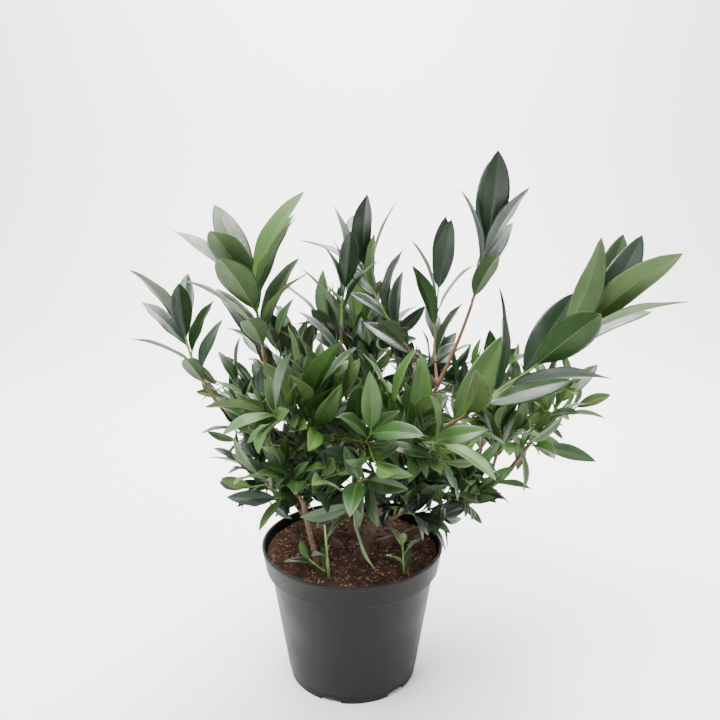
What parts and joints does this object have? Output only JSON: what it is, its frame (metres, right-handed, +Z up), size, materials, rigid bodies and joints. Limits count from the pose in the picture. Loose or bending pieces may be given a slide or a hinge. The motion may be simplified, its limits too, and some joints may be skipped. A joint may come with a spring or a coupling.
{
  "type": "potted cherry laurel",
  "caption": "Bushy cherry laurel shrub with long glossy pointed leaves on forked upright stems, standing in a round tapered nursery pot filled with compost.",
  "frame": {"origin": "centre of the pot's flat underside, on the ground", "axes": "+Z up the pot's axis; -Y the side the picture shows; +X to its right"},
  "size_m": [0.5684, 0.4536, 0.6432],
  "materials": {
    "pot_plastic": "matt, anthracite",
    "compost": "rough, loose fibrous compost",
    "bark": "rough bark",
    "laurel_green": "satin leaf"
  },
  "bodies": {
    "root": {"pot": "pot_plastic", "soil": "compost", "trunk": "bark", "stem_left": "bark", "stem_right": "bark", "stem_back": "bark", "stem_front": "bark", "bough_centre": "bark", "bough_far_left": "bark", "bough_left_tall": "bark", "bough_left_inner": "bark", "bough_centre_tall": "bark", "bough_centre_right": "bark", "bough_top_right": "bark", "bough_right_big": "bark", "bough_right_far": "bark", "bough_right_mid": "bark", "bough_left_low": "bark", "bough_left_front": "bark", "bough_front_mid": "bark", "bough_front_right": "bark", "bough_back_left": "bark", "bough_back_mid": "bark", "bough_back_right": "bark", "bough_back_far_left": "bark", "bough_back_far_right": "bark", "bough_middle": "bark", "foliage_far_left": "laurel_green", "foliage_left_tall": "laurel_green", "foliage_left_inner": "laurel_green", "foliage_centre_tall": "laurel_green", "foliage_centre_right": "laurel_green", "foliage_top_right": "laurel_green", "foliage_right_big": "laurel_green", "foliage_right_far": "laurel_green", "foliage_right_mid": "laurel_green", "foliage_right_low": "laurel_green", "foliage_left_low": "laurel_green", "foliage_left_under": "laurel_green", "foliage_left_front": "laurel_green", "foliage_front_mid": "laurel_green", "foliage_front_right": "laurel_green", "foliage_front_low": "laurel_green", "foliage_back_left": "laurel_green", "foliage_back_mid": "laurel_green", "foliage_back_right": "laurel_green", "foliage_back_far_left": "laurel_green", "foliage_back_far_right": "laurel_green", "foliage_middle": "laurel_green", "foliage_inner_left": "laurel_green", "foliage_inner_right": "laurel_green", "foliage_inner_front": "laurel_green", "foliage_inner_low": "laurel_green", "foliage_sprout_left": "laurel_green", "foliage_sprout_right": "laurel_green"}
  },
  "joints": []
}
